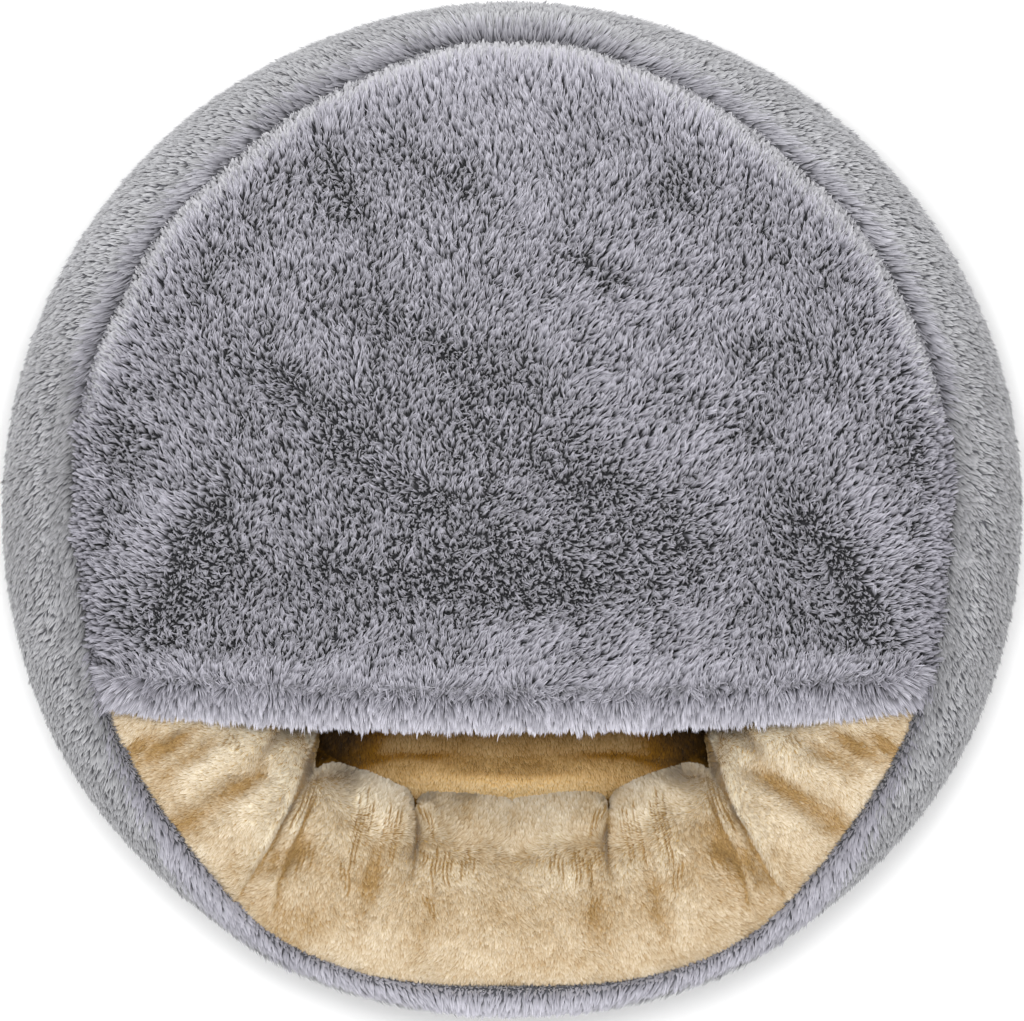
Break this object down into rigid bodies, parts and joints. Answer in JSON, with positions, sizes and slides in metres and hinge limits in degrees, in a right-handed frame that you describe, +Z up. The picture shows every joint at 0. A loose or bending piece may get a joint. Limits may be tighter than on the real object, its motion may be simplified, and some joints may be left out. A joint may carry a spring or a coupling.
{
  "type": "hooded round pet bed",
  "caption": "Round filled pet bed with a plush outer wall, a gathered velvet inner wall, a soft floor pad and a plush hood sewn over the back of its mouth.",
  "frame": {"origin": "middle of the flat base, on the surface the bed stands on", "axes": "+Z up, -Y towards the open front of the mouth, +X to the right when looking along +Y"},
  "size_m": [0.601, 0.6, 0.1888],
  "materials": {
    "base_cloth": "plain woven cloth",
    "plush": "long plush pile",
    "velvet": "short soft velvet"
  },
  "bodies": {
    "root": {"base_panel": "base_cloth", "outer_wall": "plush", "inner_wall": "velvet", "floor_pad": "velvet", "hood": "plush"}
  },
  "joints": []
}
